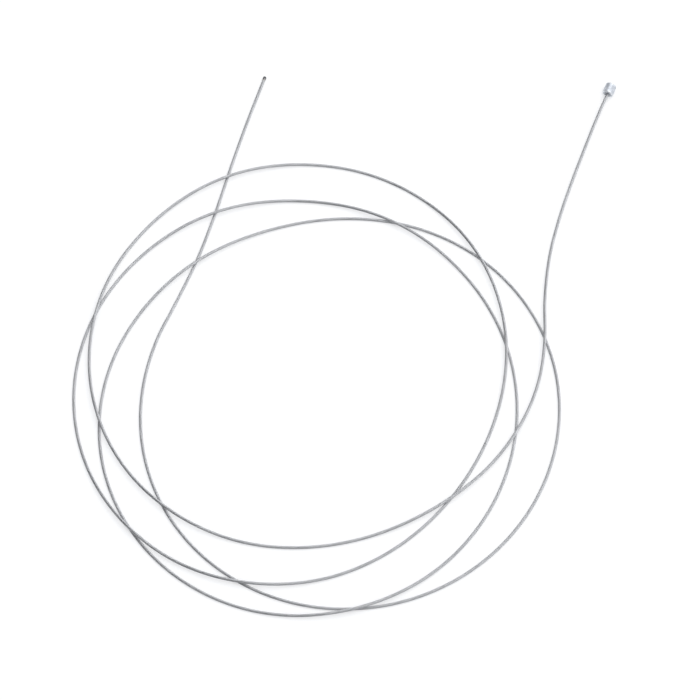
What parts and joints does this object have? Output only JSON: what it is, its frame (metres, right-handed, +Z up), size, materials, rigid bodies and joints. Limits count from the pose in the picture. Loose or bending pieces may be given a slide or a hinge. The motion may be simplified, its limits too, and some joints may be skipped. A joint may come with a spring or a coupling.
{
  "type": "bicycle brake or gear inner cable",
  "caption": "Bare inner cable for a bicycle brake or gear: a slim twisted steel strand lying loosely coiled, with a small cast barrel head at one end and a fused tip at the other.",
  "frame": {"origin": "on the ground plane, in the middle of the coiled cable's footprint", "axes": "+Z up out of the flat coil; the head and the tail both point roughly towards +Y, the head at +X and the tail at -X"},
  "size_m": [0.2164, 0.2294, 0.0044],
  "materials": {
    "cast_zinc": "bare die-cast zinc, matt grey with softly rounded edges",
    "stranded_steel": "bare stainless wires, satin, with a heat-darkened fused tip"
  },
  "bodies": {
    "root": {"head": "cast_zinc", "strand": "stranded_steel"}
  },
  "joints": []
}
